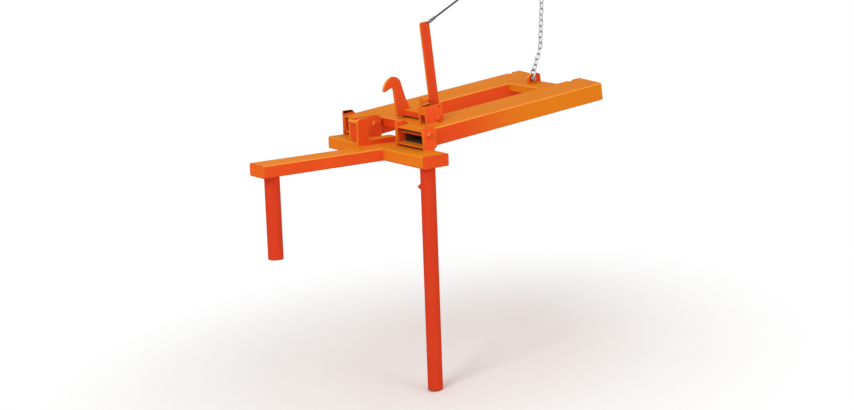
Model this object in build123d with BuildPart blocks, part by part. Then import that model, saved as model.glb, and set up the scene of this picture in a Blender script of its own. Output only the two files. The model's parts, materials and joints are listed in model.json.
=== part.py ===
import os

from build123d import *

# Millimetres. +X right, +Y to the rear where the forks enter, +Z up.
# The origin is the centre of the right fork pocket, just inside its slanted rear mouth.

pocket_width = 180
pocket_height = 72
pocket_wall = 6
pocket_pitch = 394
pocket_front_overhang = 28
pocket_rear_skew = 24
right_rear_lead = 8
left_rear_lead = -12
pivot_tube_radius = 11.5
notch_depth = 22
notch_length = 28
right_notch_setback = 32
left_notch_setback = 50

hinge_y = -877
hinge_z = 16
hinge_bolt_radius = 8
hinge_thread = 22
hinge_head_radius = 12
hinge_head_height = 10
hinge_washer_radius = 15
hinge_washer_height = 3
running_clearance = 0.05
loose_clearance = 0.3
rest_tilt = 6
stop_gap = 0.2

cross_front_depth = 80
cross_front_height = 40
cross_front_start = 42
cross_rear_depth = 93
cross_rear_height = 36
cross_rear_start = 690
cross_wall = 5

section_height = 50
section_wall = 5
beam_depth = 122
beam_right_reach = 273
arm_width = 104
arm_length = 545
cap_thickness = 4
post_radius = 30.15
post_wall = 5
post_plug = 8
short_post_length = 329
short_post_setback = 65
long_post_length = 896
long_post_setback = 57
nose_drop = 65
nose_height = 32
nose_reach = 13
nose_thickness = 10

# Inner top corner of the drum frame's L, seen from the hinge axis.
corner_x = -80
corner_ahead = 101
corner_below = 62

ear_thickness = 10
ear_gap = 1
ear_front = 72
ear_rear = 131
ear_top = 98
ear_chamfer = 16
ear_foot = 8
long_ear_front = -18
long_ear_lip = 14

striker_x = -90
striker_thickness = 12
striker_front = -58
striker_rear = -8
striker_height = 112
striker_pin_radius = 9
striker_pin_length = 100
striker_pin_y = -24
striker_pin_z = 89
foot_width = 52
foot_height = 24
foot_end = 125

# Latch positions are measured from the hinge axis, x from the drum frame's corner.
latch_y = 104
latch_z = 34
latch_bolt_radius = 6.5
latch_head_radius = 10
latch_head_height = 8
latch_nut_height = 12
latch_thread = 16
latch_tube_radius = 11
latch_tube_left = -140
latch_tube_right = 88
hook_x = -130
hook_thickness = 12
hook_hub_radius = 13
hook_front = 51.5
hook_front_bottom = 29
hook_heel_line = ((112, 62), (121, 46), (121, 31), (114, 24))
hook_throat = (51.5, 136)
hook_throat_middle = (48.5, 145.5)
hook_throat_end = (39, 149)
hook_tip = (8, 139)
hook_beak_middle = (3, 142)
hook_beak = (5, 150)
hook_crown_middle = (23, 179)
hook_crown = (55, 192)
hook_back_middle = (77, 182)
hook_back = (88, 158)
hook_waist = (100, 100)
channel_wall = 5
channel_depth = 44
channel_drop = 6
channel_gap = 0.3
lever_x = 66
lever_thickness = 10
lever_width = 41
lever_lean = 5
lever_top = 418
lever_hole_radius = 5
lever_hole_inset = 9
lever_corner_radius = 6
bracket_right_x = 92
bracket_left_x = 50
bracket_thickness = 8
bracket_front = 44
bracket_rear = 126
bracket_top = 91
bracket_hole = (114, 81)
bracket_hole_radius = 4
support_x = -152
support_thickness = 10
support_radius = 13
spring_z = 117
spring_coil_radius = 12
spring_wire_radius = 1.6
spring_curls = 4
anchor_thickness = 5
anchor_foot = 58
anchor_tab = 16
anchor_above = 9

lug_x = -123
lug_thickness = 12
lug_hole_y = 737
lug_hole_z = 40
lug_end_radius = 18
lug_rear = 780
lug_corner_radius = 14
shackle_pin_radius = 6
shackle_wire_radius = 4
shackle_leg = 26
shackle_eye_radius = 11
shackle_eye_width = 9.6
shackle_inside = 20
chain_wire_radius = 2.5
chain_inside = 24
chain_width = 21
chain_link_count = 14
chain_low_links = 4
chain_low_lean = 28
chain_high_lean = 10
chain_play = 0.2
ring_radius = 24
ring_wire_radius = 4

rope_radius = 3.75
rope_reach_y = 195
rope_reach_z = 78
rope_seat = 12
hand_loop_radius = 27
link_ring_radius = 8
link_ring_wire = 2
link_seat = 1
socket_eye_radius = 6
socket_eye_wire = 2
ferrule_radius = 6
ferrule_length = 22
ferrule_setback = 3

pocket_top = pocket_height / 2
pocket_front_y = hinge_y - pocket_front_overhang
left_pocket_x = -pocket_pitch
beam_left_x = -pocket_pitch - pocket_width / 2 - ear_gap - ear_thickness - corner_x
beam_length = beam_right_reach - beam_left_x
wall_outsides = (
    (pocket_width / 2, 1),
    (-pocket_width / 2, -1),
    (left_pocket_x + pocket_width / 2, 1),
    (left_pocket_x - pocket_width / 2, -1),
)
cross_left_x = left_pocket_x + pocket_width / 2
cross_span = pocket_pitch - pocket_width
top_from_hinge = pocket_top - hinge_z
lug_top = lug_hole_z + lug_end_radius

hinge_turn = Location((0, hinge_y, hinge_z), (-rest_tilt, 0, 0))
frame_top = Plane(hinge_turn * Location((corner_x, -corner_ahead, -corner_below)))


def frame_side(x):
    """Plane across the drum frame at x: its axes run to the rear and up."""
    return Plane(frame_top.from_local_coords((x, 0, 0)), x_dir=frame_top.y_dir, z_dir=frame_top.x_dir)


def frame_level(z):
    """Plane of the drum frame at height z over its top face."""
    return Plane(frame_top.from_local_coords((0, 0, z)), x_dir=frame_top.x_dir, z_dir=frame_top.z_dir)


def carrier_side(x):
    """Upright plane across the carrier at world x, centred on the hinge axis."""
    return Plane((x, hinge_y, hinge_z), x_dir=(0, 1, 0), z_dir=(1, 0, 0))


def latch_side(x):
    """The same plane, with x counted from the drum frame's corner."""
    return carrier_side(corner_x + x)


def section_along_x(start, depth, height, top):
    """Plane that looks along +X at a tube's near end, at its middle."""
    return Plane((start, hinge_y + depth, hinge_z + top - height / 2), x_dir=(0, 1, 0), z_dir=(1, 0, 0))


# Carrier

pocket_length = -pocket_front_y


def make_pocket(pocket_x, rear_lead, notch_setback):
    """One fork pocket with the threaded tube of its hinge bolts, its rear end cut aslant."""
    inner_half = pocket_width / 2 - pocket_wall
    with BuildPart() as pocket:
        with BuildSketch(Plane((pocket_x, pocket_front_y, 0), x_dir=(1, 0, 0), z_dir=(0, 1, 0))):
            RectangleRounded(pocket_width, pocket_height, 8)
            RectangleRounded(pocket_width - 2 * pocket_wall, pocket_height - 2 * pocket_wall, 3, mode=Mode.SUBTRACT)
        extrude(amount=pocket_length + rear_lead + pocket_rear_skew)
        rear_cut = Plane((pocket_x, rear_lead, 0), z_dir=(pocket_rear_skew, pocket_width, 0))
        split(bisect_by=rear_cut, keep=Keep.BOTTOM)
        with BuildSketch(carrier_side(pocket_x)):
            Circle(pivot_tube_radius)
        extrude(amount=inner_half, both=True)
        with BuildSketch(carrier_side(pocket_x)):
            Circle(hinge_bolt_radius)
        extrude(amount=pocket_width, both=True, mode=Mode.SUBTRACT)
        with BuildSketch(Plane((pocket_x - pocket_width / 2, -notch_setback, pocket_top))):
            Rectangle(2 * notch_depth, notch_length)
        extrude(amount=-2 * pocket_wall, mode=Mode.SUBTRACT)
    return pocket


fork_pocket_right = make_pocket(0, right_rear_lead, right_notch_setback)
fork_pocket_left = make_pocket(left_pocket_x, left_rear_lead, left_notch_setback)

with BuildPart() as front_cross_member:
    with BuildSketch(
        section_along_x(cross_left_x, cross_front_start + cross_front_depth / 2, cross_front_height, top_from_hinge)
    ):
        RectangleRounded(cross_front_depth, cross_front_height, 6)
        RectangleRounded(
            cross_front_depth - 2 * cross_wall, cross_front_height - 2 * cross_wall, 2, mode=Mode.SUBTRACT
        )
    extrude(amount=cross_span)

with BuildPart() as rear_cross_member:
    with BuildSketch(
        section_along_x(cross_left_x, cross_rear_start + cross_rear_depth / 2, cross_rear_height, top_from_hinge)
    ):
        RectangleRounded(cross_rear_depth, cross_rear_height, 6)
        RectangleRounded(cross_rear_depth - 2 * cross_wall, cross_rear_height - 2 * cross_wall, 2, mode=Mode.SUBTRACT)
    extrude(amount=cross_span)

with BuildPart() as chain_lug:
    with BuildSketch(latch_side(lug_x - lug_thickness / 2)):
        with BuildLine():
            Polyline(
                (lug_rear, lug_top - lug_corner_radius),
                (lug_rear, top_from_hinge),
                (lug_hole_y - lug_end_radius, top_from_hinge),
                (lug_hole_y - lug_end_radius, lug_hole_z),
            )
            RadiusArc((lug_hole_y - lug_end_radius, lug_hole_z), (lug_hole_y, lug_top), lug_end_radius)
            Line((lug_hole_y, lug_top), (lug_rear - lug_corner_radius, lug_top))
            RadiusArc(
                (lug_rear - lug_corner_radius, lug_top), (lug_rear, lug_top - lug_corner_radius), lug_corner_radius
            )
        make_face()
        with Locations((lug_hole_y, lug_hole_z)):
            Circle(shackle_pin_radius + loose_clearance, mode=Mode.SUBTRACT)
    extrude(amount=lug_thickness)

with BuildPart() as hinge_bolts:
    for face_x, side in wall_outsides:
        seat_x = face_x + side * (ear_gap + ear_thickness + loose_clearance)
        with BuildSketch(carrier_side(face_x - side * (pocket_wall + hinge_thread))):
            Circle(hinge_bolt_radius)
        extrude(amount=side * (pocket_wall + hinge_thread + ear_gap + ear_thickness + loose_clearance))
        with BuildSketch(carrier_side(seat_x)):
            Circle(hinge_washer_radius)
        extrude(amount=side * hinge_washer_height)
        with BuildSketch(carrier_side(seat_x + side * hinge_washer_height)):
            RegularPolygon(hinge_head_radius, 6, major_radius=False)
        extrude(amount=side * hinge_head_height)

with BuildPart() as stop_pads:
    with BuildSketch(frame_level(stop_gap)):
        with Locations(*[(pocket_x - corner_x, corner_ahead + 4) for pocket_x in (0, left_pocket_x)]):
            Rectangle(70, 14)
    extrude(amount=20)
    split(bisect_by=Plane((0, 0, -pocket_top)), keep=Keep.BOTTOM)

# Latch: hook, tube and lever turn on one long bolt

with BuildPart() as bracket_plate_right:
    with BuildSketch(latch_side(bracket_right_x)):
        with Locations(((bracket_front + bracket_rear) / 2, (top_from_hinge + bracket_top) / 2)):
            Rectangle(bracket_rear - bracket_front, bracket_top - top_from_hinge)
        with Locations((latch_y, latch_z)):
            Circle(latch_bolt_radius, mode=Mode.SUBTRACT)
        with Locations(bracket_hole):
            Circle(bracket_hole_radius, mode=Mode.SUBTRACT)
    extrude(amount=bracket_thickness)

with BuildPart() as bracket_plate_left:
    with BuildSketch(latch_side(bracket_left_x)):
        with Locations(((bracket_front + bracket_rear) / 2, (top_from_hinge + bracket_top) / 2)):
            Rectangle(bracket_rear - bracket_front, bracket_top - top_from_hinge)
        with Locations((latch_y, latch_z)):
            Circle(latch_tube_radius + 1, mode=Mode.SUBTRACT)
    extrude(amount=bracket_thickness)

with BuildPart() as latch_support:
    with BuildSketch(latch_side(support_x)):
        with Locations((latch_y, (latch_z + top_from_hinge) / 2)):
            Rectangle(2 * support_radius, latch_z - top_from_hinge)
        with Locations((latch_y, latch_z)):
            Circle(support_radius)
            Circle(latch_bolt_radius, mode=Mode.SUBTRACT)
    extrude(amount=support_thickness)

with BuildPart() as latch_bolt:
    with BuildSketch(latch_side(support_x - latch_thread)):
        with Locations((latch_y, latch_z)):
            Circle(latch_bolt_radius)
    extrude(amount=bracket_right_x + bracket_thickness - support_x + latch_thread)
    with BuildSketch(latch_side(bracket_right_x + bracket_thickness)):
        with Locations((latch_y, latch_z)):
            RegularPolygon(latch_head_radius, 6, major_radius=False)
    extrude(amount=latch_head_height)

with BuildPart() as latch_nut:
    with BuildSketch(latch_side(support_x)):
        with Locations((latch_y, latch_z)):
            RegularPolygon(latch_head_radius, 6, major_radius=False)
            Circle(latch_bolt_radius, mode=Mode.SUBTRACT)
    extrude(amount=-latch_nut_height)

with BuildPart() as latch_tube:
    with BuildSketch(latch_side(latch_tube_left)):
        with Locations((latch_y, latch_z)):
            Circle(latch_tube_radius)
            Circle(latch_bolt_radius + running_clearance, mode=Mode.SUBTRACT)
    extrude(amount=latch_tube_right - latch_tube_left)

with BuildPart() as hook_plate:
    with BuildSketch(latch_side(hook_x)):
        with BuildLine():
            Line((hook_front, hook_front_bottom), hook_throat)
            ThreePointArc(hook_throat, hook_throat_middle, hook_throat_end)
            Line(hook_throat_end, hook_tip)
            ThreePointArc(hook_tip, hook_beak_middle, hook_beak)
            ThreePointArc(hook_beak, hook_crown_middle, hook_crown)
            ThreePointArc(hook_crown, hook_back_middle, hook_back)
            Polyline(
                hook_back,
                hook_waist,
                *hook_heel_line,
                (hook_front, hook_front_bottom),
            )
        make_face()
        with Locations((latch_y, latch_z)):
            Circle(hook_hub_radius)
            Circle(latch_tube_radius, mode=Mode.SUBTRACT)
    extrude(amount=hook_thickness)

channel_left = hook_x + hook_thickness
channel_inside_top = latch_tube_radius + channel_gap
channel_height = channel_inside_top + channel_wall + channel_drop
with BuildPart() as latch_channel:
    with BuildSketch(latch_side(channel_left)):
        with Locations((latch_y, latch_z + channel_height / 2 - channel_drop)):
            Rectangle(channel_depth, channel_height)
        with Locations((latch_y, latch_z + channel_height / 2 - channel_drop - channel_wall)):
            Rectangle(channel_depth - 2 * channel_wall, channel_height, mode=Mode.SUBTRACT)
    extrude(amount=bracket_left_x - ear_gap - channel_left)

lever_y = latch_y + lever_lean
with BuildPart() as lever:
    with BuildSketch(latch_side(lever_x)):
        with Locations((lever_y, (latch_z + lever_top) / 2)):
            Rectangle(lever_width, lever_top - latch_z)
        with Locations((latch_y, latch_z)):
            Circle(hook_hub_radius)
            Circle(latch_tube_radius, mode=Mode.SUBTRACT)
        with Locations((lever_y + lever_width / 2 - lever_hole_inset, lever_top - lever_hole_inset)):
            Circle(lever_hole_radius, mode=Mode.SUBTRACT)
    extrude(amount=lever_thickness)
    lever_top_edges = lever.edges().filter_by(Axis.X).group_by(Axis.Z)[-1]
    fillet(lever_top_edges, lever_corner_radius)

with BuildPart() as spring_anchor:
    with BuildSketch(latch_side(bracket_left_x + bracket_thickness)):
        with Locations((bracket_front + anchor_thickness / 2, (anchor_foot + bracket_top) / 2)):
            Rectangle(anchor_thickness, bracket_top - anchor_foot)
    extrude(amount=bracket_right_x - bracket_left_x - bracket_thickness)
    with BuildSketch(latch_side(lever_x + lever_thickness / 2)):
        with Locations((bracket_front + anchor_thickness / 2, (bracket_top + spring_z + anchor_above) / 2)):
            Rectangle(anchor_thickness, spring_z + anchor_above - bracket_top)
    extrude(amount=anchor_tab / 2, both=True)

spring_start = bracket_front + anchor_thickness + loose_clearance + spring_wire_radius
spring_end = lever_y - lever_width / 2 - loose_clearance - spring_wire_radius
spring_length = spring_end - spring_start
spring_base = latch_side(lever_x + lever_thickness / 2).from_local_coords((spring_start, spring_z, 0))
with BuildPart() as latch_spring:
    with BuildLine():
        coil = Helix(spring_length / spring_curls, spring_length, spring_coil_radius, spring_base, (0, 1, 0))
    with BuildSketch(Plane(coil @ 0, z_dir=coil % 0)):
        Circle(spring_wire_radius)
    sweep(is_frenet=True)

# Least gap of the spring to itself, on points half a curl or more apart
spring_points = [coil @ (step / (24 * spring_curls)) for step in range(24 * spring_curls + 1)]
spring_gap = min(
    (one - other).length - 2 * spring_wire_radius
    for place, one in enumerate(spring_points)
    for other in spring_points[place + 12 :]
)
print("latch_spring least gap to itself", round(spring_gap, 2), "mm")

# Pull rope on the lever's top corner

rope_start = latch_side(lever_x + lever_thickness / 2).from_local_coords(
    (lever_y + lever_width / 2 - lever_hole_inset, lever_top - lever_hole_inset, 0)
)
rope_along = Vector(0, rope_reach_y, rope_reach_z).normalized()
rope_across = Plane(rope_start, x_dir=(1, 0, 0), z_dir=Vector(1, 0, 0).cross(rope_along))
rope_lengthwise = Plane(rope_start, x_dir=rope_along, z_dir=(1, 0, 0))
rope_end = Vector(0, rope_reach_y, rope_reach_z).length
link_far = link_seat + 2 * link_ring_radius
eye_centre = link_far - link_ring_wire - socket_eye_wire - chain_play + socket_eye_radius
socket_start = eye_centre + socket_eye_radius
socket_end = socket_start + ferrule_length
far_ferrule = rope_end - ferrule_setback - ferrule_length

with BuildPart() as rope_link:
    with BuildLine(rope_across):
        link_loop = CenterArc((0, link_seat + link_ring_radius), link_ring_radius, 0, 360)
    with BuildSketch(Plane(link_loop @ 0, z_dir=link_loop % 0)):
        Circle(link_ring_wire)
    sweep()

with BuildPart() as rope_ferrules:
    with BuildLine(rope_lengthwise):
        socket_eye = CenterArc((eye_centre, 0), socket_eye_radius, 0, 360)
    with BuildSketch(Plane(socket_eye @ 0, z_dir=socket_eye % 0)):
        Circle(socket_eye_wire)
    sweep()
    for ferrule_start in (socket_start, far_ferrule):
        with BuildSketch(Plane(rope_start + rope_along * ferrule_start, z_dir=rope_along)):
            Circle(ferrule_radius)
        extrude(amount=ferrule_length)
    for bore_start in (socket_end - rope_seat, far_ferrule):
        with BuildSketch(Plane(rope_start + rope_along * bore_start, z_dir=rope_along)):
            Circle(rope_radius)
        extrude(amount=ferrule_length, mode=Mode.SUBTRACT)

with BuildPart() as pull_rope:
    with BuildSketch(Plane(rope_start + rope_along * (socket_end - rope_seat), z_dir=rope_along)):
        Circle(rope_radius)
    extrude(amount=rope_end - socket_end + rope_seat)

with BuildPart() as hand_loop:
    with BuildLine(rope_lengthwise):
        loop_line = CenterArc((rope_end + rope_radius + hand_loop_radius, 0), hand_loop_radius, 180, 360)
    with BuildSketch(Plane(loop_line @ 0, z_dir=loop_line % 0)):
        Circle(rope_radius)
    sweep()

# Safety chain on the rear lug

chain_base = latch_side(lug_x).from_local_coords((lug_hole_y, lug_hole_z, 0))
low_along = Vector(0, 1, 0).rotate(Axis.X, 90 - chain_low_lean)
high_along = Vector(0, 1, 0).rotate(Axis.X, 90 - chain_high_lean)


def flat_on(base, along):
    """Plane of a link that lies crosswise, its y axis along the chain."""
    return Plane(base, x_dir=(1, 0, 0), z_dir=Vector(1, 0, 0).cross(along))


def edge_on(base, along):
    """Plane of a link that stands lengthwise, its y axis along the chain."""
    return Plane(base, x_dir=along.cross(Vector(1, 0, 0)), z_dir=(1, 0, 0))


shackle_half = shackle_inside / 2 + shackle_wire_radius
shackle_bow = shackle_leg + shackle_half - shackle_wire_radius

with BuildPart() as chain_shackle:
    with BuildLine(flat_on(chain_base, low_along)):
        Line((-shackle_half, 0), (-shackle_half, shackle_leg))
        ThreePointArc((-shackle_half, shackle_leg), (0, shackle_leg + shackle_half), (shackle_half, shackle_leg))
        bow_end = Line((shackle_half, shackle_leg), (shackle_half, 0))
    with BuildSketch(Plane(bow_end @ 1, z_dir=bow_end % 1)):
        Circle(shackle_wire_radius)
    sweep()
    for side in (1, -1):
        with BuildSketch(latch_side(lug_x + side * (shackle_half - shackle_eye_width / 2))):
            with Locations((lug_hole_y, lug_hole_z)):
                Circle(shackle_eye_radius)
        extrude(amount=side * shackle_eye_width)
    with BuildSketch(latch_side(lug_x)):
        with Locations((lug_hole_y, lug_hole_z)):
            Circle(shackle_pin_radius)
    extrude(amount=2 * shackle_half, both=True, mode=Mode.SUBTRACT)

with BuildPart() as shackle_pin:
    with BuildSketch(latch_side(lug_x - shackle_half - shackle_eye_width / 2 - 3)):
        with Locations((lug_hole_y, lug_hole_z)):
            Circle(shackle_pin_radius)
    extrude(amount=2 * shackle_half + shackle_eye_width + 3)
    with BuildSketch(latch_side(lug_x + shackle_half + shackle_eye_width / 2)):
        with Locations((lug_hole_y, lug_hole_z)):
            Circle(9)
    extrude(amount=5)

link_half_width = chain_width / 2 - chain_wire_radius
link_straight = chain_inside / 2 + chain_wire_radius - link_half_width
first_link = shackle_bow - chain_play + chain_inside / 2
link_step = chain_inside - chain_play


def make_link(plane, centre):
    """One welded link, drawn in the given plane around a point along the chain."""
    low = centre - link_straight
    high = centre + link_straight
    with BuildPart() as link:
        with BuildLine(plane):
            Line((-link_half_width, low), (-link_half_width, high))
            ThreePointArc((-link_half_width, high), (0, high + link_half_width), (link_half_width, high))
            far_side = Line((link_half_width, high), (link_half_width, low))
            ThreePointArc((link_half_width, low), (0, low - link_half_width), (-link_half_width, low))
        with BuildSketch(Plane(far_side @ 0, z_dir=far_side % 0)):
            Circle(chain_wire_radius)
        sweep()
    return link


# The chain bends at the end of its last low link, a crosswise one
link_end = chain_inside / 2 + chain_wire_radius
bend_at = first_link + (chain_low_links - 1) * link_step + link_end
bend_base = chain_base + low_along * bend_at
with BuildPart() as chain_links:
    for number in range(chain_link_count):
        high = number >= chain_low_links
        base, along = (bend_base, high_along) if high else (chain_base, low_along)
        centre = first_link + number * link_step - (bend_at if high else 0)
        add(make_link(flat_on(base, along) if number % 2 else edge_on(base, along), centre).part)

last_link = first_link + (chain_link_count - 1) * link_step - bend_at
ring_centre = last_link + chain_inside / 2 - chain_play - ring_wire_radius + ring_radius
with BuildPart() as chain_ring:
    with BuildLine(edge_on(bend_base, high_along)):
        ring_loop = CenterArc((0, ring_centre), ring_radius, 0, 360)
    with BuildSketch(Plane(ring_loop @ 0, z_dir=ring_loop % 0)):
        Circle(ring_wire_radius)
    sweep()

# Drum frame, drawn in its own tilted planes

beam_middle = (beam_depth / 2, -section_height / 2)
with BuildPart() as cross_beam:
    with BuildSketch(frame_side(beam_left_x + cap_thickness)):
        with Locations(beam_middle):
            RectangleRounded(beam_depth, section_height, 7)
            RectangleRounded(beam_depth - 2 * section_wall, section_height - 2 * section_wall, 3, mode=Mode.SUBTRACT)
    extrude(amount=beam_length - 2 * cap_thickness)

with BuildPart() as beam_caps:
    for cap_x in (beam_left_x, beam_right_reach - cap_thickness):
        with BuildSketch(frame_side(cap_x)):
            with Locations(beam_middle):
                RectangleRounded(beam_depth, section_height, 7)
        extrude(amount=cap_thickness)


def arm_face(ahead):
    """Plane across the arm, facing forward, this far ahead of the beam."""
    middle = frame_top.from_local_coords((-arm_width / 2, -ahead, -section_height / 2))
    return Plane(middle, x_dir=frame_top.x_dir, z_dir=-frame_top.y_dir)


with BuildPart() as drum_arm:
    with BuildSketch(arm_face(0)):
        RectangleRounded(arm_width, section_height, 7)
        RectangleRounded(arm_width - 2 * section_wall, section_height - 2 * section_wall, 3, mode=Mode.SUBTRACT)
    extrude(amount=arm_length - cap_thickness)

with BuildPart() as arm_cap:
    with BuildSketch(arm_face(arm_length - cap_thickness)):
        RectangleRounded(arm_width, section_height, 7)
    extrude(amount=cap_thickness)

short_post_at = (-arm_width / 2, -arm_length + short_post_setback)
long_post_at = (beam_right_reach - long_post_setback, beam_depth / 2)


def make_post(centre, length):
    """A drum post: round tube welded under the drum frame."""
    with BuildPart() as post:
        with BuildSketch(frame_level(-section_height)):
            with Locations(centre):
                Circle(post_radius)
                Circle(post_radius - post_wall, mode=Mode.SUBTRACT)
        extrude(amount=-length)
    return post


short_post = make_post(short_post_at, short_post_length)
long_post = make_post(long_post_at, long_post_length)

with BuildPart() as post_plugs:
    for centre, length in ((short_post_at, short_post_length), (long_post_at, long_post_length)):
        with BuildSketch(frame_level(-section_height - length)):
            with Locations(centre):
                Circle(post_radius - post_wall)
        extrude(amount=post_plug)

nose_along = (-frame_top.x_dir - frame_top.y_dir).normalized()
nose_plane = Plane(
    frame_top.from_local_coords((*long_post_at, -section_height - nose_drop)),
    x_dir=nose_along,
    z_dir=nose_along.cross(frame_top.z_dir),
)
with BuildPart() as post_nose:
    with BuildSketch(nose_plane):
        with BuildLine():
            Polyline(
                (post_radius - 5, 0),
                (post_radius + nose_reach, -nose_height / 2),
                (post_radius - 5, -nose_height),
                close=True,
            )
        make_face()
    extrude(amount=nose_thickness / 2, both=True)
    with BuildSketch(frame_level(-section_height)):
        with Locations(long_post_at):
            Circle(post_radius)
    extrude(amount=-long_post_length, mode=Mode.SUBTRACT)

with BuildPart() as hinge_ears:
    for face_x, side in wall_outsides:
        long_ear = face_x < -pocket_pitch / 2 and side > 0
        with BuildSketch(frame_side(face_x + side * ear_gap - corner_x)):
            with BuildLine():
                Polyline(
                    (0 if long_ear else ear_front, 0),
                    (long_ear_front if long_ear else ear_front, long_ear_lip),
                    (long_ear_front if long_ear else ear_front, ear_top - ear_gap),
                    (long_ear_front + ear_gap if long_ear else ear_front + ear_gap, ear_top),
                    (ear_rear - ear_chamfer, ear_top),
                    (ear_rear, ear_top - ear_chamfer),
                    (ear_rear, ear_foot),
                    (beam_depth, ear_foot),
                    (beam_depth, 0),
                    close=True,
                )
            make_face()
            with Locations((corner_ahead, corner_below)):
                Circle(hinge_bolt_radius + running_clearance, mode=Mode.SUBTRACT)
        extrude(amount=side * ear_thickness)

with BuildPart() as striker_plate:
    with BuildSketch(frame_side(striker_x)):
        with BuildLine():
            Polyline(
                (striker_front, 0),
                (striker_front, striker_height - 8),
                (striker_front + 8, striker_height),
                (striker_rear, striker_height),
                (striker_rear, 0),
                close=True,
            )
        make_face()
    extrude(amount=-striker_thickness)

with BuildPart() as striker_foot:
    with BuildSketch(frame_side(striker_x)):
        with Locations(((striker_rear + foot_end) / 2, foot_height / 2)):
            Rectangle(foot_end - striker_rear, foot_height)
    extrude(amount=-foot_width)

with BuildPart() as striker_pin:
    with BuildSketch(frame_side(striker_x - striker_thickness)):
        with Locations((striker_pin_y, striker_pin_z)):
            Circle(striker_pin_radius)
    extrude(amount=-striker_pin_length)

nodes = {
    "fork_pocket_right": fork_pocket_right,
    "fork_pocket_left": fork_pocket_left,
    "front_cross_member": front_cross_member,
    "rear_cross_member": rear_cross_member,
    "chain_lug": chain_lug,
    "hinge_bolts": hinge_bolts,
    "stop_pads": stop_pads,
    "bracket_plate_right": bracket_plate_right,
    "bracket_plate_left": bracket_plate_left,
    "latch_support": latch_support,
    "latch_bolt": latch_bolt,
    "latch_nut": latch_nut,
    "latch_tube": latch_tube,
    "hook_plate": hook_plate,
    "latch_channel": latch_channel,
    "lever": lever,
    "spring_anchor": spring_anchor,
    "latch_spring": latch_spring,
    "rope_link": rope_link,
    "rope_ferrules": rope_ferrules,
    "pull_rope": pull_rope,
    "hand_loop": hand_loop,
    "chain_shackle": chain_shackle,
    "shackle_pin": shackle_pin,
    "chain_links": chain_links,
    "chain_ring": chain_ring,
    "cross_beam": cross_beam,
    "beam_caps": beam_caps,
    "drum_arm": drum_arm,
    "arm_cap": arm_cap,
    "short_post": short_post,
    "long_post": long_post,
    "post_plugs": post_plugs,
    "post_nose": post_nose,
    "hinge_ears": hinge_ears,
    "striker_plate": striker_plate,
    "striker_foot": striker_foot,
    "striker_pin": striker_pin,
}
os.makedirs("parts", exist_ok=True)
for node, piece in nodes.items():
    piece.part.label = node
    export_step(piece.part, f"parts/{node}.step")
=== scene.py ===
import json
import math

import bmesh
import bpy
from mathutils import Matrix, Vector


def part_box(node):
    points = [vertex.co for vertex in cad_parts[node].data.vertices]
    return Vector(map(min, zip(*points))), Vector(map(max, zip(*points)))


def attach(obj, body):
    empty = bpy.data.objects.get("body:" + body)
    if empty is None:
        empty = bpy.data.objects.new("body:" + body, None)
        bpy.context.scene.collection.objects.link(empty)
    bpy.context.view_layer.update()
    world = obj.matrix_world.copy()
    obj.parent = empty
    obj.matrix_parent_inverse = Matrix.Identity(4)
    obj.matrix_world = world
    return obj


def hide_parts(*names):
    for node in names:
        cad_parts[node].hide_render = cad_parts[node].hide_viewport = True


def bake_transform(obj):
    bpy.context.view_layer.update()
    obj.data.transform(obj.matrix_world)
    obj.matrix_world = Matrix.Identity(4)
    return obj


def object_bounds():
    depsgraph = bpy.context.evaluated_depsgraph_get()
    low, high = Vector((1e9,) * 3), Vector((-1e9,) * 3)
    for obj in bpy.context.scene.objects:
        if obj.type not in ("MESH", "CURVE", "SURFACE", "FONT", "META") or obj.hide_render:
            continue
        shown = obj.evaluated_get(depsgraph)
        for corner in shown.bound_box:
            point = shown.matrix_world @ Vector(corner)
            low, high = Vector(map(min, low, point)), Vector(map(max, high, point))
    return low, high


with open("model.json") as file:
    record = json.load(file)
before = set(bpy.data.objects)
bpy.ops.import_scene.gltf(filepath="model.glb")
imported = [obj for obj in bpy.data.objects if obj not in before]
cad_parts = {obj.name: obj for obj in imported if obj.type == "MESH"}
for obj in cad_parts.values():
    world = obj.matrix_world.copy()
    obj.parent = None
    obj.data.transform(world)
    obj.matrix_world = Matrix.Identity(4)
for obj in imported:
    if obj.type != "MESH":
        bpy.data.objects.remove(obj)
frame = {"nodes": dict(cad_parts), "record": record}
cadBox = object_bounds()
nodes = frame["nodes"]
scene = bpy.context.scene
scene.view_settings.view_transform = "Standard"
print("frame loaded,", len(nodes), "nodes")

# solved from corners of the frame, posts, pockets and lever in the photograph
cameraSettings = {
    "place": (6.49805, -5.04662, 1.73362),
    "right": (0.563396, 0.817251, -0.121186),
    "up": (-0.143102, 0.240993, 0.959919),
    "back": (0.813699, -0.523473, 0.252725),
    "lens": 84.87,  # mm
    "sensorWidth": 36,  # mm
    "clipEnd": 60,
}


def makeCamera(settings):
    data = bpy.data.cameras.new("photoCamera")
    data.sensor_fit = "HORIZONTAL"
    data.sensor_width = settings["sensorWidth"]
    data.lens = settings["lens"]
    data.clip_end = settings["clipEnd"]
    camera = bpy.data.objects.new("photoCamera", data)
    turn = Matrix((settings["right"], settings["up"], settings["back"])).transposed()
    camera.matrix_world = Matrix.Translation(settings["place"]) @ turn.to_4x4()
    scene.collection.objects.link(camera)
    scene.camera = camera


makeCamera(cameraSettings)
print("camera placed")


# sRGB hex to linear
def hexColour(text):
    parts = [int(text[i:i + 2], 16) / 255 for i in (1, 3, 5)]
    linear = [c / 12.92 if c <= 0.04045 else ((c + 0.055) / 1.055) ** 2.4 for c in parts]
    return (*linear, 1)


# links and inputs name a socket by its name or number, settings are the node's own properties
def addNode(tree, kind, links=(), inputs=(), **settings):
    made = tree.nodes.new(kind)
    for name, value in settings.items():
        setattr(made, name, value)
    for name, value in inputs:
        made.inputs[name].default_value = value
    for source, target in links:
        tree.links.new(source, made.inputs[target])
    return made


# a Mix node's colour sockets share their names with its other sockets, so they go by number
firstColour, secondColour, mixedColour = 6, 7, 2


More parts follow.
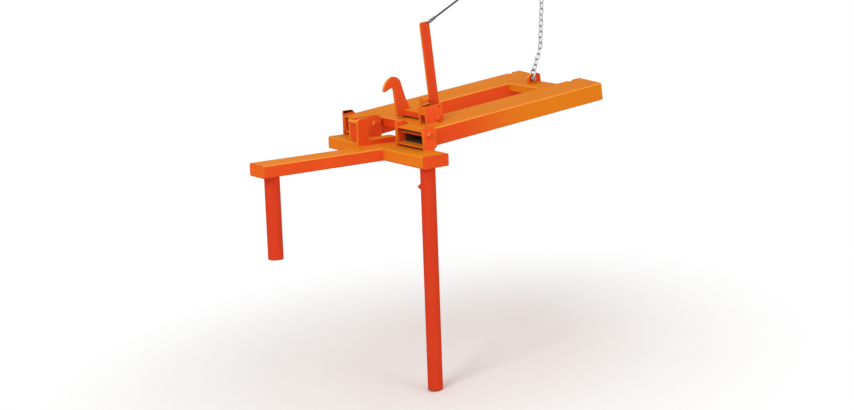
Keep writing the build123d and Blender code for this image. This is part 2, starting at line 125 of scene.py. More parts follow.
def newMaterial(name):
    material = bpy.data.materials.new(name)
    material.use_nodes = True
    tree = material.node_tree
    tree.nodes.clear()
    place = addNode(tree, "ShaderNodeTexCoord").outputs["Object"]
    shader = addNode(tree, "ShaderNodeBsdfPrincipled")
    addNode(tree, "ShaderNodeOutputMaterial", [(shader.outputs["BSDF"], "Surface")])
    return material, tree, place, shader


# Enamel sprayed on welded steel and stoved: an even, saturated orange with a soft gloss, a faint
# orange peel and some handling scuffs. Its edges are paler by painted highlight and its corners
# darker by painted shade, and faces turned towards the light are painted a yellower orange as
# painted light.
enamelSettings = {
    "colour": "#E0461E",
    "cloud": "#E7581F",
    "cloudSize": 150.0,  # mm
    # painted light: the yellower orange painted on faces turned towards the light
    "paintedLight": "#E6841A",
    "paintedLightCloud": "#DC7A16",
    "litSide": (0.0, -0.5, 0.87),
    "litSideFrom": 0.1,  # cosines of the lean to the painted light's direction
    "litSideFull": 0.8,
    # painted shade, darker in corners and deep gaps
    "cavity": "#30190C",
    "cavityReach": 60.0,  # mm
    "cavityFrom": 0.18,  # shares of open space
    "cavityFull": 0.02,
    "cavityMost": 0.9,
    # painted highlight on edges and on the tubes' upper round corners
    "edge": "#F7A850",
    "edgeSize": 2.4,  # mm
    "edgeFrom": 0.995,  # cosines between the rounded and the flat face
    "edgeFull": 0.84,
    "edgeMost": 0.45,
    "rimFrom": 0.97,  # squares of the normal's rise
    "rimFull": 0.6,
    "upperFrom": 0.25,  # the normal's rise
    "upperFull": 0.6,
    "rimMost": 0.6,
    "scuffSize": 40.0,  # mm
    "scuffRange": (0.3, 0.7),
    "roughness": (0.46, 0.64),
    "peelSize": 3.0,  # mm, the real peel of about 1 mm is drawn coarser so that it shows
    "peelDepth": 0.5,  # mm
    "peelStrength": 0.08,
    "ior": 1.45,
    "specular": 0.02,  # the soft gloss hardly mirrors
    "probes": 6,
}
# painted shade: the posts hang in the shade of the frame and are painted a darker red orange, with
# none of the painted light
postShadeColours = {"colour": "#CE3921", "cloud": "#D44120"}
# painted light: the thin plates are painted a brighter orange
litPlateColours = {"colour": "#EB5226", "cloud": "#F0642B"}
# painted shade: the lever is painted a darker red orange
leverShadeColours = {"colour": "#DA4222", "cloud": "#DF4C20"}
# painted shade darkens the pockets' insides to dull brown and the crown of the cross tube, and
# painted light turns the rear half of the right pocket's outer side yellower as on the tops, all in
# mm
pocketShadeAndLight = {
    "shadeColour": "#5C4535", "halfWidth": 85.0, "halfHeight": 31.0, "pitch": 394.0, "shadeFrom": -873.0,
    "crownFrom": -889.0, "crownUp": 15.5,
    # the painted light on the right pocket's outer side, growing to the rear
    "outerSide": 83.0, "fadeFrom": -760.0, "fadeTo": -330.0, "rearLightMost": 0.9,
}
# painted shade blackens the inner side of the outer left ear above its pocket
earShadeAndLight = {
    **pocketShadeAndLight, "shadeColour": "#2E1210", "halfWidth": 1.0, "halfHeight": 90.0, "pitch": 485.0,
    "shadeFrom": 0.0, "crownFrom": -1000.0, "crownUp": 43.0,
}


# how much painted light a face gets, by how squarely it stands to the light's direction
def litSideShare(tree, normal, settings, most):
    lean = addNode(
        tree, "ShaderNodeVectorMath", [(normal, 0)], [(1, settings["litSide"])],
        operation="DOT_PRODUCT",
    )
    share = addNode(
        tree, "ShaderNodeMapRange", [(lean.outputs["Value"], "Value")],
        [("From Min", settings["litSideFrom"]), ("From Max", settings["litSideFull"]), ("To Max", most)],
        interpolation_type="SMOOTHSTEP",
    )
    return share.outputs["Result"]


# painted light on the outer side, growing to the rear
def rearLightShare(tree, at, shadeAndLight):
    outside = addNode(
        tree, "ShaderNodeMath", [(at["X"], 0)], [(1, shadeAndLight["outerSide"] / 1000)],
        operation="GREATER_THAN",
    )
    rearward = addNode(
        tree, "ShaderNodeMapRange", [(at["Y"], "Value")],
        [
            ("From Min", shadeAndLight["fadeFrom"] / 1000), ("From Max", shadeAndLight["fadeTo"] / 1000),
            ("To Max", shadeAndLight["rearLightMost"]),
        ],
        interpolation_type="SMOOTHSTEP",
    )
    share = addNode(
        tree, "ShaderNodeMath", [(outside.outputs["Value"], 0), (rearward.outputs["Result"], 1)],
        operation="MULTIPLY",
    )
    return share.outputs["Value"]


# painted highlight on the edges, and on the tubes' round corners, where the normal leans between up
# and sideways
def edgeHighlightShare(tree, normal, rounded, settings):
    flat = addNode(tree, "ShaderNodeNewGeometry")
    facing = addNode(
        tree, "ShaderNodeVectorMath",
        [(rounded.outputs["Normal"], 0), (flat.outputs["Normal"], 1)], operation="DOT_PRODUCT",
    )
    edge = addNode(
        tree, "ShaderNodeMapRange", [(facing.outputs["Value"], "Value")],
        [
            ("From Min", settings["edgeFrom"]), ("From Max", settings["edgeFull"]),
            ("To Max", settings["edgeMost"]),
        ],
    )
    rise = addNode(tree, "ShaderNodeSeparateXYZ", [(normal, 0)]).outputs["Z"]
    level = addNode(tree, "ShaderNodeMath", [(rise, 0), (rise, 1)], operation="MULTIPLY")
    corner = addNode(
        tree, "ShaderNodeMapRange", [(level.outputs["Value"], "Value")],
        [("From Min", settings["rimFrom"]), ("From Max", settings["rimFull"])],
    )
    upper = addNode(
        tree, "ShaderNodeMapRange", [(rise, "Value")],
        [
            ("From Min", settings["upperFrom"]), ("From Max", settings["upperFull"]),
            ("To Max", settings["rimMost"]),
        ],
    )
    rim = addNode(
        tree, "ShaderNodeMath", [(corner.outputs["Result"], 0), (upper.outputs["Result"], 1)],
        operation="MULTIPLY",
    )
    share = addNode(
        tree, "ShaderNodeMath", [(edge.outputs["Result"], 0), (rim.outputs["Value"], 1)],
        operation="MAXIMUM",
    )
    return share.outputs["Value"]


# 1 where painted shade goes: near x = 0 or x = -pitch, and either behind shadeFrom, or
# behind crownFrom and above crownUp
def paintedShadeShare(tree, at, shadeAndLight):
    toRight = addNode(tree, "ShaderNodeMath", [(at["X"], 0)], operation="ABSOLUTE")
    shifted = addNode(
        tree, "ShaderNodeMath", [(at["X"], 0)], [(1, shadeAndLight["pitch"] / 1000)], operation="ADD",
    )
    toLeft = addNode(
        tree, "ShaderNodeMath", [(shifted.outputs["Value"], 0)], operation="ABSOLUTE",
    )
    across = addNode(
        tree, "ShaderNodeMath", [(toRight.outputs["Value"], 0), (toLeft.outputs["Value"], 1)],
        operation="MINIMUM",
    )
    upright = addNode(tree, "ShaderNodeMath", [(at["Z"], 0)], operation="ABSOLUTE")
    narrow, low, behind, inward, high = [
        addNode(
            tree, "ShaderNodeMath", [(value, 0)], [(1, shadeAndLight[limit] / 1000)], operation=test,
        ).outputs["Value"]
        for value, test, limit in (
            (across.outputs["Value"], "LESS_THAN", "halfWidth"),
            (upright.outputs["Value"], "LESS_THAN", "halfHeight"),
            (at["Y"], "GREATER_THAN", "shadeFrom"),
            (at["Y"], "GREATER_THAN", "crownFrom"),
            (at["Z"], "GREATER_THAN", "crownUp"),
        )
    ]
    within = addNode(tree, "ShaderNodeMath", [(narrow, 0), (low, 1)], operation="MULTIPLY")
    crown = addNode(tree, "ShaderNodeMath", [(inward, 0), (high, 1)], operation="MULTIPLY")
    dirty = addNode(
        tree, "ShaderNodeMath", [(behind, 0), (crown.outputs["Value"], 1)], operation="MAXIMUM",
    )
    share = addNode(
        tree, "ShaderNodeMath", [(within.outputs["Value"], 0), (dirty.outputs["Value"], 1)],
        operation="MULTIPLY",
    )
    return share.outputs["Value"]


def makeEnamel(name, settings, litSideMost=1.0, shadeAndLight=None):
    material, tree, place, shader = newMaterial(name)
    normal = addNode(tree, "ShaderNodeTexCoord").outputs["Normal"]
    clouds = addNode(
        tree, "ShaderNodeTexNoise", [(place, "Vector")],
        [("Scale", 1000 / settings["cloudSize"]), ("Detail", 3.0)],
    )
    ownColour, paintedLightColour = [
        addNode(
            tree, "ShaderNodeMix", [(clouds.outputs["Fac"], "Factor")],
            [
                (firstColour, hexColour(settings[plain])),
                (secondColour, hexColour(settings[cloudy])),
            ],
            data_type="RGBA",
        ).outputs[mixedColour]
        for plain, cloudy in (("colour", "cloud"), ("paintedLight", "paintedLightCloud"))
    ]
    # the share of painted light on faces turned towards the light, and where given on a pocket's
    # outer side
    paintedLight = litSideShare(tree, normal, settings, litSideMost)
    if shadeAndLight:
        at = addNode(tree, "ShaderNodeSeparateXYZ", [(place, 0)]).outputs
        paintedLight = addNode(
            tree, "ShaderNodeMath", [(paintedLight, 0), (rearLightShare(tree, at, shadeAndLight), 1)],
            operation="MAXIMUM",
        ).outputs["Value"]
    base = addNode(
        tree, "ShaderNodeMix", [(paintedLight, "Factor"), (ownColour, firstColour), (paintedLightColour, secondColour)],
        data_type="RGBA",
    )
    # painted shade in corners and deep gaps
    hollow = addNode(
        tree, "ShaderNodeAmbientOcclusion",
        inputs=[("Distance", settings["cavityReach"] / 1000)], samples=settings["probes"],
    )
    shade = addNode(
        tree, "ShaderNodeMapRange", [(hollow.outputs["AO"], "Value")],
        [
            ("From Min", settings["cavityFrom"]), ("From Max", settings["cavityFull"]),
            ("To Max", settings["cavityMost"]),
        ],
    )
    cornerShaded = addNode(
        tree, "ShaderNodeMix",
        [(shade.outputs["Result"], "Factor"), (base.outputs[mixedColour], firstColour)],
        [(secondColour, hexColour(settings["cavity"]))], data_type="RGBA",
    )
    rounded = addNode(
        tree, "ShaderNodeBevel", inputs=[("Radius", settings["edgeSize"] / 1000)],
        samples=settings["probes"],
    )
    finish = addNode(
        tree, "ShaderNodeMix",
        [
            (edgeHighlightShare(tree, normal, rounded, settings), "Factor"),
            (cornerShaded.outputs[mixedColour], firstColour),
        ],
        [(secondColour, hexColour(settings["edge"]))], data_type="RGBA",
    )
    # painted shade inside the pockets, on the cross tube's crown and on the ear's inner side
    if shadeAndLight:
        finish = addNode(
            tree, "ShaderNodeMix",
            [(paintedShadeShare(tree, at, shadeAndLight), "Factor"), (finish.outputs[mixedColour], firstColour)],
            [(secondColour, hexColour(shadeAndLight["shadeColour"]))], data_type="RGBA",
        )
    tree.links.new(finish.outputs[mixedColour], shader.inputs["Base Color"])
    scuffs = addNode(
        tree, "ShaderNodeTexNoise", [(place, "Vector")],
        [("Scale", 1000 / settings["scuffSize"]), ("Detail", 6.0), ("Roughness", 0.65)],
    )
    fine, scuffed = settings["scuffRange"]
    smooth, dull = settings["roughness"]
    rough = addNode(
        tree, "ShaderNodeMapRange", [(scuffs.outputs["Fac"], "Value")],
        [("From Min", fine), ("From Max", scuffed), ("To Min", smooth), ("To Max", dull)],
    )
    tree.links.new(rough.outputs["Result"], shader.inputs["Roughness"])
    peel = addNode(
        tree, "ShaderNodeTexNoise", [(place, "Vector")],
        [("Scale", 1000 / settings["peelSize"]), ("Detail", 1.0)],
    )
    bump = addNode(
        tree, "ShaderNodeBump",
        [(peel.outputs["Fac"], "Height"), (rounded.outputs["Normal"], "Normal")],
        [("Strength", settings["peelStrength"]), ("Distance", settings["peelDepth"] / 1000)],
    )
    tree.links.new(bump.outputs["Normal"], shader.inputs["Normal"])
    shader.inputs["IOR"].default_value = settings["ior"]
    shader.inputs["Specular IOR Level"].default_value = settings["specular"]
    return material


# Zinc plate on steel: bright cool grey, mottled, dulled in patches where pieces rub.
zincSettings = {
    "bright": "#C9CDD0",
    "dull": "#8A9094",
    "mottleSize": 5.0,  # mm
    "roughness": (0.22, 0.46),
    "grainSize": 0.9,  # mm
    "grainDepth": 0.2,  # mm
    "grainStrength": 0.12,
}
# handled fittings at the rope's end, gone grey
agedZincSettings = {**zincSettings, "bright": "#7E8286", "dull": "#3E4144"}


def makeZinc(name, settings):
    material, tree, place, shader = newMaterial(name)
    mottle = addNode(
        tree, "ShaderNodeTexNoise", [(place, "Vector")],
        [("Scale", 1000 / settings["mottleSize"]), ("Detail", 6.0)],
    )
    tone = addNode(
        tree, "ShaderNodeMix", [(mottle.outputs["Fac"], "Factor")],
        [
            (firstColour, hexColour(settings["bright"])),
            (secondColour, hexColour(settings["dull"])),
        ],
        data_type="RGBA",
    )
    tree.links.new(tone.outputs[mixedColour], shader.inputs["Base Color"])
    smooth, dull = settings["roughness"]
    rough = addNode(
        tree, "ShaderNodeMapRange", [(mottle.outputs["Fac"], "Value")],
        [("To Min", smooth), ("To Max", dull)],
    )
    tree.links.new(rough.outputs["Result"], shader.inputs["Roughness"])
    grain = addNode(
        tree, "ShaderNodeTexNoise", [(place, "Vector")],
        [("Scale", 1000 / settings["grainSize"]), ("Detail", 2.0)],
    )
    bump = addNode(
        tree, "ShaderNodeBump", [(grain.outputs["Fac"], "Height")],
        [("Strength", settings["grainStrength"]), ("Distance", settings["grainDepth"] / 1000)],
    )
    tree.links.new(bump.outputs["Normal"], shader.inputs["Normal"])
    shader.inputs["Metallic"].default_value = 1.0
    return material


# Laid polyester cord: near black, matt, with a little fuzz that lifts the dark at the rim.
cordFinish = {
    "dark": "#0F1012",
    "worn": "#232427",
    "fibreSize": 1.2,  # mm
    "fibreDepth": 0.3,  # mm
    "fibreStrength": 0.3,
    "roughness": 0.85,
    "fuzz": 0.2,
}


def makeCordFinish(settings):
    material, tree, place, shader = newMaterial("laidPolyesterCord")
    fibre = addNode(
        tree, "ShaderNodeTexNoise", [(place, "Vector")],
        [("Scale", 1000 / settings["fibreSize"]), ("Detail", 4.0)],
    )
    tone = addNode(
        tree, "ShaderNodeMix", [(fibre.outputs["Fac"], "Factor")],
        [(firstColour, hexColour(settings["dark"])), (secondColour, hexColour(settings["worn"]))],
        data_type="RGBA",
    )
    tree.links.new(tone.outputs[mixedColour], shader.inputs["Base Color"])
    bump = addNode(
        tree, "ShaderNodeBump", [(fibre.outputs["Fac"], "Height")],
        [("Strength", settings["fibreStrength"]), ("Distance", settings["fibreDepth"] / 1000)],
    )
    tree.links.new(bump.outputs["Normal"], shader.inputs["Normal"])
    shader.inputs["Roughness"].default_value = settings["roughness"]
    shader.inputs["Sheen Weight"].default_value = settings["fuzz"]
    return material


enamel = makeEnamel("stovedOrangeEnamel", enamelSettings)
postShadeEnamel = makeEnamel(
    "postShadeOrangeEnamel", {**enamelSettings, **postShadeColours}, litSideMost=0.0,
)
# painted light falls only on the tops of the pieces between the pockets, and on the rear member's
# front side too
shadedEnamel = makeEnamel("shadedOrangeEnamel", {**enamelSettings, "litSide": (0.0, 0.0, 1.0)})
rearEnamel = makeEnamel("frontLitOrangeEnamel", {**enamelSettings, "litSide": (0.0, -0.7, 0.7)})
pocketEnamel = makeEnamel("pocketShadeEnamel", enamelSettings, shadeAndLight=pocketShadeAndLight)
leverEnamel = makeEnamel("leverShadeOrangeEnamel", {**enamelSettings, **leverShadeColours})
litPlateEnamel = makeEnamel("litPlateOrangeEnamel", {**enamelSettings, **litPlateColours})
earEnamel = makeEnamel("earShadeEnamel", {**enamelSettings, **litPlateColours}, shadeAndLight=earShadeAndLight)
# the arm's cap gets less of the painted light
capEnamel = makeEnamel("cappedOrangeEnamel", enamelSettings, litSideMost=0.4)
# the beam gets a weaker painted highlight on its top edges, and painted shade from a shorter reach
beamEnamel = makeEnamel(
    "beamOrangeEnamel", {**enamelSettings, "cavityReach": 30.0, "rimMost": 0.15},
)
zinc = makeZinc("zincPlatedSteel", zincSettings)
agedZinc = makeZinc("agedZincSteel", agedZincSettings)
cordCloth = makeCordFinish(cordFinish)
finishes = {"orange_paint": enamel, "zinc_steel": zinc, "dark_rope": cordCloth}
ownFinish = {
    "fork_pocket_left": pocketEnamel, "fork_pocket_right": pocketEnamel,
    "front_cross_member": shadedEnamel, "rear_cross_member": rearEnamel,
    "bracket_plate_left": litPlateEnamel, "bracket_plate_right": litPlateEnamel,
    "hook_plate": litPlateEnamel, "latch_channel": shadedEnamel, "lever": leverEnamel,
    "rope_link": agedZinc, "rope_ferrules": agedZinc,
    "cross_beam": beamEnamel, "arm_cap": capEnamel, "hinge_ears": earEnamel,
    "short_post": postShadeEnamel, "long_post": postShadeEnamel,
    "post_plugs": postShadeEnamel, "post_nose": postShadeEnamel,
}
for part in frame["record"]["subparts"]:
    mesh = nodes[part["node"]].data
    mesh.materials.clear()
    mesh.materials.append(ownFinish.get(part["node"], finishes[part["material_slot"]]))
print("materials on")


# rings of points joined into one skin, closed at both ends or all the way round
def skinRings(name, rings, material, closed=False):
    shape = bmesh.new()
    made = [[shape.verts.new(point) for point in ring] for ring in rings]
    sides = len(rings[0])
    pairs = list(zip(made, made[1:])) + ([(made[-1], made[0])] if closed else [])
    for low, high in pairs:
        for i in range(sides):
            j = (i + 1) % sides
            shape.faces.new((low[i], low[j], high[j], high[i]))
    if not closed:
        shape.faces.new(list(reversed(made[0])))
        shape.faces.new(made[-1])
    bmesh.ops.recalc_face_normals(shape, faces=shape.faces)
    mesh = bpy.data.meshes.new(name)
    shape.to_mesh(mesh)
    shape.free()
    mesh.shade_smooth()
    mesh.materials.append(material)
    piece = bpy.data.objects.new(name, mesh)
    scene.collection.objects.link(piece)
    return piece


# a ring of points about a place, from two directions across it
def ringPoints(point, radii, across, other):
    turns = [2 * math.pi * k / len(radii) for k in range(len(radii))]
    return [
        point + radius * (math.cos(turn) * across + math.sin(turn) * other)
        for radius, turn in zip(radii, turns)
    ]


# points along a NURBS line, read from a curve with no bevel
def splinePoints(points, steps):
    data = bpy.data.curves.new("route", "CURVE")
    data.dimensions = "3D"
    spline = data.splines.new("NURBS")
    spline.points.add(len(points) - 1)
    for target, point in zip(spline.points, points):
        target.co = (*point, 1)
    spline.order_u = 3
    spline.use_endpoint_u = True
    spline.resolution_u = steps
    holder = bpy.data.objects.new("route", data)
    scene.collection.objects.link(holder)
    line = bpy.data.meshes.new_from_object(holder)
    found = [vertex.co.copy() for vertex in line.vertices]
    bpy.data.objects.remove(holder)
    bpy.data.meshes.remove(line)
    return found


# Pull rope from the ring on the lever's top corner: a straight pulled run from a pressed socket to
# a sleeve, with a hand loop just above the picture's edge.
ropeSettings = {
    "hole": (-0.009, -0.7565, 0.425),
    "reach": (0.195, 0.078),  # to the rear and up
    "runStart": 0.0348,
    "runSteps": 40,
    "straightEnds": 6,  # diameters
    "radius": 0.00375,
    "strands": 3,
    "lay": 0.024,
    "groove": 0.2,  # depth between strands, as a share of the radius
    "sides": 18,
    "loop": [  # along the rope and across it
        (0.2055, 0.0025), (0.2115, 0.006), (0.2215, 0.0215),
        (0.241, 0.0305), (0.261, 0.0225), (0.269, 0.0085),
    ],
    "loopSteps": 14,
}


# rings of a three-strand section that turns with the lay
def ropeRings(line, settings):
    rings, run = [], 0.0
    turns = [2 * math.pi * k / settings["sides"] for k in range(settings["sides"])]
    groove = settings["groove"]
    for i, point in enumerate(line):
        along = (line[min(i + 1, len(line) - 1)] - line[max(i - 1, 0)]).normalized()
        across = Vector((1, 0, 0)).cross(along).normalized()
        if i:
            run += (point - line[i - 1]).length
        twist = 2 * math.pi * run / settings["lay"]
        lobes = [abs(math.cos(settings["strands"] / 2 * (turn - twist))) for turn in turns]
        radii = [settings["radius"] * (1 - groove + groove * lobe) for lobe in lobes]
        rings.append(ringPoints(point, radii, across, along.cross(across)))
    return rings


def makeRope(settings):
    hole = Vector(settings["hole"])
    reach = Vector((0, *settings["reach"]))
    along = reach.normalized()
    above = Vector((1, 0, 0)).cross(along)
    straight = 2 * settings["straightEnds"] * settings["radius"]
    start, end = settings["runStart"], reach.length
    runPoints = [hole + along * u for u in (start, start + straight, end - straight, end)]
    line = splinePoints(runPoints, settings["runSteps"])
    rope = skinRings("pullRope", ropeRings(line, settings), cordCloth)
    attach(rope, "latch")
    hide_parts("pull_rope")
    half = settings["loop"]
    route = half + [(u, -v) for u, v in reversed(half)]
    bend = splinePoints([hole + along * u + above * v for u, v in route], settings["loopSteps"])
    loop = skinRings("handLoop", ropeRings(bend, settings), cordCloth)
    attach(loop, "latch")
    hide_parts("hand_loop")


makeRope(ropeSettings)
print("rope tied")

# Coiled spring from its anchor to the lever's front edge, wound at one fixed length. The real
# spring shortens and stretches as the lever turns.
springSettings = {"wireRadius": 0.0016, "curls": 4, "stepsPerCurl": 24, "sides": 10}


def makeSpring(settings):
    low, high = (Vector(corner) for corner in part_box("latch_spring"))
    middle = (low + high) / 2
    wire = settings["wireRadius"]
    coilRadius = (high.x - low.x) / 2 - wire
    front, rear = low.y + wire, high.y - wire
    pitch = (rear - front) / settings["curls"]
    rings = []
    for i in range(settings["curls"] * settings["stepsPerCurl"] + 1):
        curls = i / settings["stepsPerCurl"]
        turn = 2 * math.pi * curls
        outward = Vector((math.cos(turn), 0, math.sin(turn)))
        sideways = Vector((-math.sin(turn), 0, math.cos(turn)))
        point = Vector((middle.x, front + pitch * curls, middle.z)) + coilRadius * outward
        along = (coilRadius * sideways + Vector((0, pitch / (2 * math.pi), 0))).normalized()
        radii = [wire] * settings["sides"]
        rings.append(ringPoints(point, radii, outward, along.cross(outward)))
    spring = skinRings("latchSpring", rings, enamel)
    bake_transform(spring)
    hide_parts("latch_spring")


makeSpring(springSettings)
print("spring wound")

# Weld beads lie where the plates and tubes meet: a low rippled run, painted over, in mm.
beadSettings = {
    "ripple": 5.0,
    "uneven": 0.14,
    "wander": ((0.08, 0.21), (0.05, 0.073)),  # share of the size, and pace along the run
    "step": 1.7,
    "sides": 8,
    "endRings": 2,
    "endSize": 0.6,
    "steep": 0.9,
}
# the tilting frame hangs on the hinge line, which lies behind and above the inner top corner of its
# L, and stands a little off level at rest
hangSettings = {
    "hinge": (0, -0.877, 0.016),
    "cornerX": -0.080,
    "backFromCorner": 101,  # mm
    "upFromCorner": 62,  # mm
    "tilt": -6,  # degrees
}
hinge = Vector(hangSettings["hinge"])
tilt = Matrix.Rotation(math.radians(hangSettings["tilt"]), 3, "X")


# places on the tilting frame, in mm from the inner top corner of its L
def onFrame(x, y, z):
    back, up = y - hangSettings["backFromCorner"], z - hangSettings["upFromCorner"]
    turned = tilt @ Vector((0, back / 1000, up / 1000))
    return Vector((hangSettings["cornerX"] + x / 1000, 0, 0)) + hinge + turned


# places on the carrier, in mm from the hinge line, x from the same corner
def onCarrier(x, y, z):
    return hinge + Vector((hangSettings["cornerX"] + x / 1000, y / 1000, z / 1000))


def beadRings(corners, radius, settings, closed):
    rings, line, run = [], [], 0.0
    stops = corners + ([corners[0]] if closed else [])
    for start, end in zip(stops, stops[1:]):
        count = max(1, round((end - start).length * 1000 / settings["step"]))
        line += [start.lerp(end, i / count) for i in range(count)]
    if not closed:
        line.append(stops[-1])
    last = len(line) - 1
    for i, point in enumerate(line):
        ahead = line[(i + 1) % len(line)] if closed else line[min(i + 1, last)]
        behind = line[i - 1] if closed or i else line[0]
        along = (ahead - behind).normalized()
        across = along.orthogonal().normalized()
        if abs(along.z) < settings["steep"]:
            across = along.cross(Vector((0, 0, 1))).normalized()
        run += settings["step"]
        wave = 1 + settings["uneven"] * math.cos(2 * math.pi * run / settings["ripple"])
        wander = 1 + sum(share * math.sin(run * pace) for share, pace in settings["wander"])
        size = radius / 1000 * wave * wander
        if not closed and min(i, last - i) < settings["endRings"]:
            size *= settings["endSize"]
        rings.append(ringPoints(point, [size] * settings["sides"], across, along.cross(across)))
    return rings


def weld(name, corners, radius, body, closed=False):
    rings = beadRings(corners, radius, beadSettings, closed)
    bead = skinRings(name, rings, enamel, closed)
    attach(bead, body)


# rings round the tops of the posts, in mm on the tilting frame
postWelds = {
    "places": {"shortPostWeld": (-52, -480), "longPostWeld": (216, 61)},
    "top": -50,
    "postRadius": 30.15,
    "standOff": 0.6,
    "corners": 48,
    "radius": 3.2,
}


def weldPosts(settings):
    turns = [2 * math.pi * i / settings["corners"] for i in range(settings["corners"])]
    reach = settings["postRadius"] + settings["standOff"]
    height = settings["top"] - settings["standOff"]
    for name, (x, y) in settings["places"].items():
        weld(name, [
            onFrame(x + reach * math.cos(turn), y + reach * math.sin(turn), height)
            for turn in turns
        ], settings["radius"], "drum_frame", closed=True)


# straight beads: start and end, in mm on the tilting frame or the carrier, and the bead's radius
frameWelds = {
    "earWeld1": ((-415, 74, 0), (-415, 118, 0), 3.2),
    "earWeld2": ((-213, 2, 0), (-213, 118, 0), 3.2),
    "earWeld3": ((-21, 74, 0), (-21, 118, 0), 3.2),
    "earWeld4": ((181, 74, 0), (181, 118, 0), 3.2),
    "strikerWeldRight": ((-90, -58, 0), (-90, 119, 0), 3.2),
    "strikerWeldLeft": ((-102, -58, 0), (-102, -8, 0), 3.2),
    "strikerWeldFront": ((-102, -58, 0), (-90, -58, 0), 3.2),
    "armSeamTop": ((-99, 0, -1.6), (-5, 0, -1.6), 2.6),
    "armSeamRight": ((0, 0, -6), (0, 0, -44), 3.2),
    "armSeamLeft": ((-104, 0, -6), (-104, 0, -44), 3.2),
    "armSeamUnder": ((-99, 0, -48.4), (-5, 0, -48.4), 2.6),
}
carrierWelds = {
    "frontMemberWeldLeft": ((-224, 42, -14), (-224, 42, 14), 3.2),
    "frontMemberSeamLeft": ((-224, 48, 15.4), (-224, 116, 15.4), 4.2),
    "rearMemberWeldLeft": ((-224, 690, -10), (-224, 690, 14), 3.2),
    "rearMemberSeamLeft": ((-224, 696, 15.4), (-224, 777, 15.4), 4.2),
    "frontMemberWeldRight": ((-10, 42, -14), (-10, 42, 14), 3.2),
    "frontMemberSeamRight": ((-10, 48, 15.4), (-10, 116, 15.4), 4.2),
    "rearMemberWeldRight": ((-10, 690, -10), (-10, 690, 14), 3.2),
    "rearMemberSeamRight": ((-10, 696, 15.4), (-10, 777, 15.4), 4.2),
    "lugWeldLeft": ((-129, 722, 20), (-129, 774, 20), 2.8),
    "lugWeldRight": ((-117, 722, 20), (-117, 774, 20), 2.8),
    "supportWeldLeft": ((-152, 91, 20), (-152, 117, 20), 2.8),
    "supportWeldRight": ((-142, 91, 20), (-142, 117, 20), 2.8),
    "bracketWeld1": ((92, 46, 20), (92, 124, 20), 2.4),
    "bracketWeld2": ((100, 46, 20), (100, 124, 20), 2.4),
    "bracketWeld3": ((50, 46, 20), (50, 124, 20), 2.4),
    "bracketWeld4": ((58, 46, 20), (58, 124, 20), 2.4),
}


def weldLines(lines, placed, body):
    for name, (start, end, radius) in lines.items():
        weld(name, [placed(*start), placed(*end)], radius, body)


weldPosts(postWelds)
weldLines(frameWelds, onFrame, "drum_frame")
weldLines(carrierWelds, onCarrier, "carrier")
print("welds laid")

# plain pale floor that fades to white, and soft light
studio = {
    "floorColour": "#EFEDEA",
    "floorRoughness": 0.7,
    "floorRadius": 14,
    "floorSides": 64,
    "middle": (-0.15, -0.9),
    "fadeFrom": 0.5,
    "fadeTo": 1.7,
    "skyStrength": 0.65,
    "lamps": [  # name, place, aim, power in watts and size
        ("keyLamp", (1.4, -4.8, 3.2), (-0.2, -0.9, 0), 108, 2.4),
        ("topLamp", (-0.8, 0.2, 4.4), (-0.2, -0.8, 0), 24, 3.0),
        ("sideLamp", (4.6, 0.2, 1.6), (-0.2, -0.7, 0), 50, 2.2),
    ],
}


# 1 where a camera, mirror or glass ray arrives, so that these see plain white
def seenRays(tree):
    rays = addNode(tree, "ShaderNodeLightPath").outputs
    seen = addNode(
        tree, "ShaderNodeMath", [(rays["Is Camera Ray"], 0), (rays["Is Glossy Ray"], 1)],
        operation="MAXIMUM",
    )
    both = addNode(
        tree, "ShaderNodeMath",
        [(seen.outputs["Value"], 0), (rays["Is Transmission Ray"], 1)], operation="MAXIMUM",
    )
    return both.outputs["Value"]


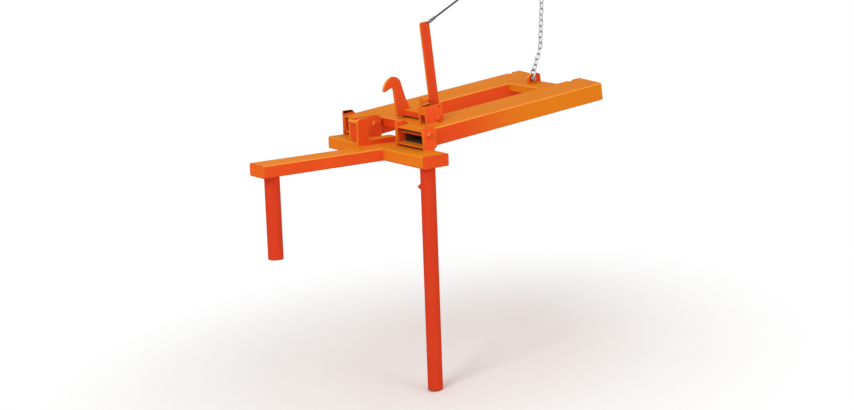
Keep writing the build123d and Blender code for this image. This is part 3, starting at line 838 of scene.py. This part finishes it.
def makeFloor(settings):
    shape = bmesh.new()
    bmesh.ops.create_circle(
        shape, cap_ends=True, segments=settings["floorSides"], radius=settings["floorRadius"],
    )
    mesh = bpy.data.meshes.new("studioFloor")
    shape.to_mesh(mesh)
    shape.free()
    floor = bpy.data.objects.new("studioFloor", mesh)
    floor.location = (*settings["middle"], cadBox[0][2])
    scene.collection.objects.link(floor)
    material, tree, place, shader = newMaterial("paleFloor")
    shader.inputs["Base Color"].default_value = hexColour(settings["floorColour"])
    shader.inputs["Roughness"].default_value = settings["floorRoughness"]
    far = addNode(tree, "ShaderNodeVectorMath", [(place, 0)], operation="LENGTH")
    fade = addNode(
        tree, "ShaderNodeMapRange", [(far.outputs["Value"], "Value")],
        [("From Min", settings["fadeFrom"]), ("From Max", settings["fadeTo"])],
        interpolation_type="SMOOTHSTEP",
    )
    share = addNode(
        tree, "ShaderNodeMath", [(fade.outputs["Result"], 0), (seenRays(tree), 1)],
        operation="MULTIPLY",
    )
    glow = addNode(tree, "ShaderNodeEmission", inputs=[("Strength", 1.0)])
    mixed = addNode(
        tree, "ShaderNodeMixShader",
        [
            (share.outputs["Value"], 0), (shader.outputs["BSDF"], 1),
            (glow.outputs["Emission"], 2),
        ],
    )
    surface = next(node for node in tree.nodes if node.bl_idname == "ShaderNodeOutputMaterial")
    tree.links.new(mixed.outputs["Shader"], surface.inputs["Surface"])
    mesh.materials.append(material)


def makeLight(settings):
    world = bpy.data.worlds.new("softSky")
    scene.world = world
    world.use_nodes = True
    sky = world.node_tree
    sky.nodes.clear()
    soft, white = [
        addNode(
            sky, "ShaderNodeBackground", inputs=[("Color", (1, 1, 1, 1)), ("Strength", strength)],
        )
        for strength in (settings["skyStrength"], 1.0)
    ]
    mixed = addNode(
        sky, "ShaderNodeMixShader",
        [
            (seenRays(sky), 0), (soft.outputs["Background"], 1),
            (white.outputs["Background"], 2),
        ],
    )
    addNode(sky, "ShaderNodeOutputWorld", [(mixed.outputs["Shader"], "Surface")])
    for name, place, aim, power, size in settings["lamps"]:
        lamp = bpy.data.lights.new(name, "AREA")
        lamp.energy = power
        lamp.size = size
        holder = bpy.data.objects.new(name, lamp)
        holder.location = place
        away = Vector(aim) - Vector(place)
        holder.rotation_euler = away.to_track_quat("-Z", "Y").to_euler()
        scene.collection.objects.link(holder)


makeFloor(studio)
makeLight(studio)
print("studio lit")
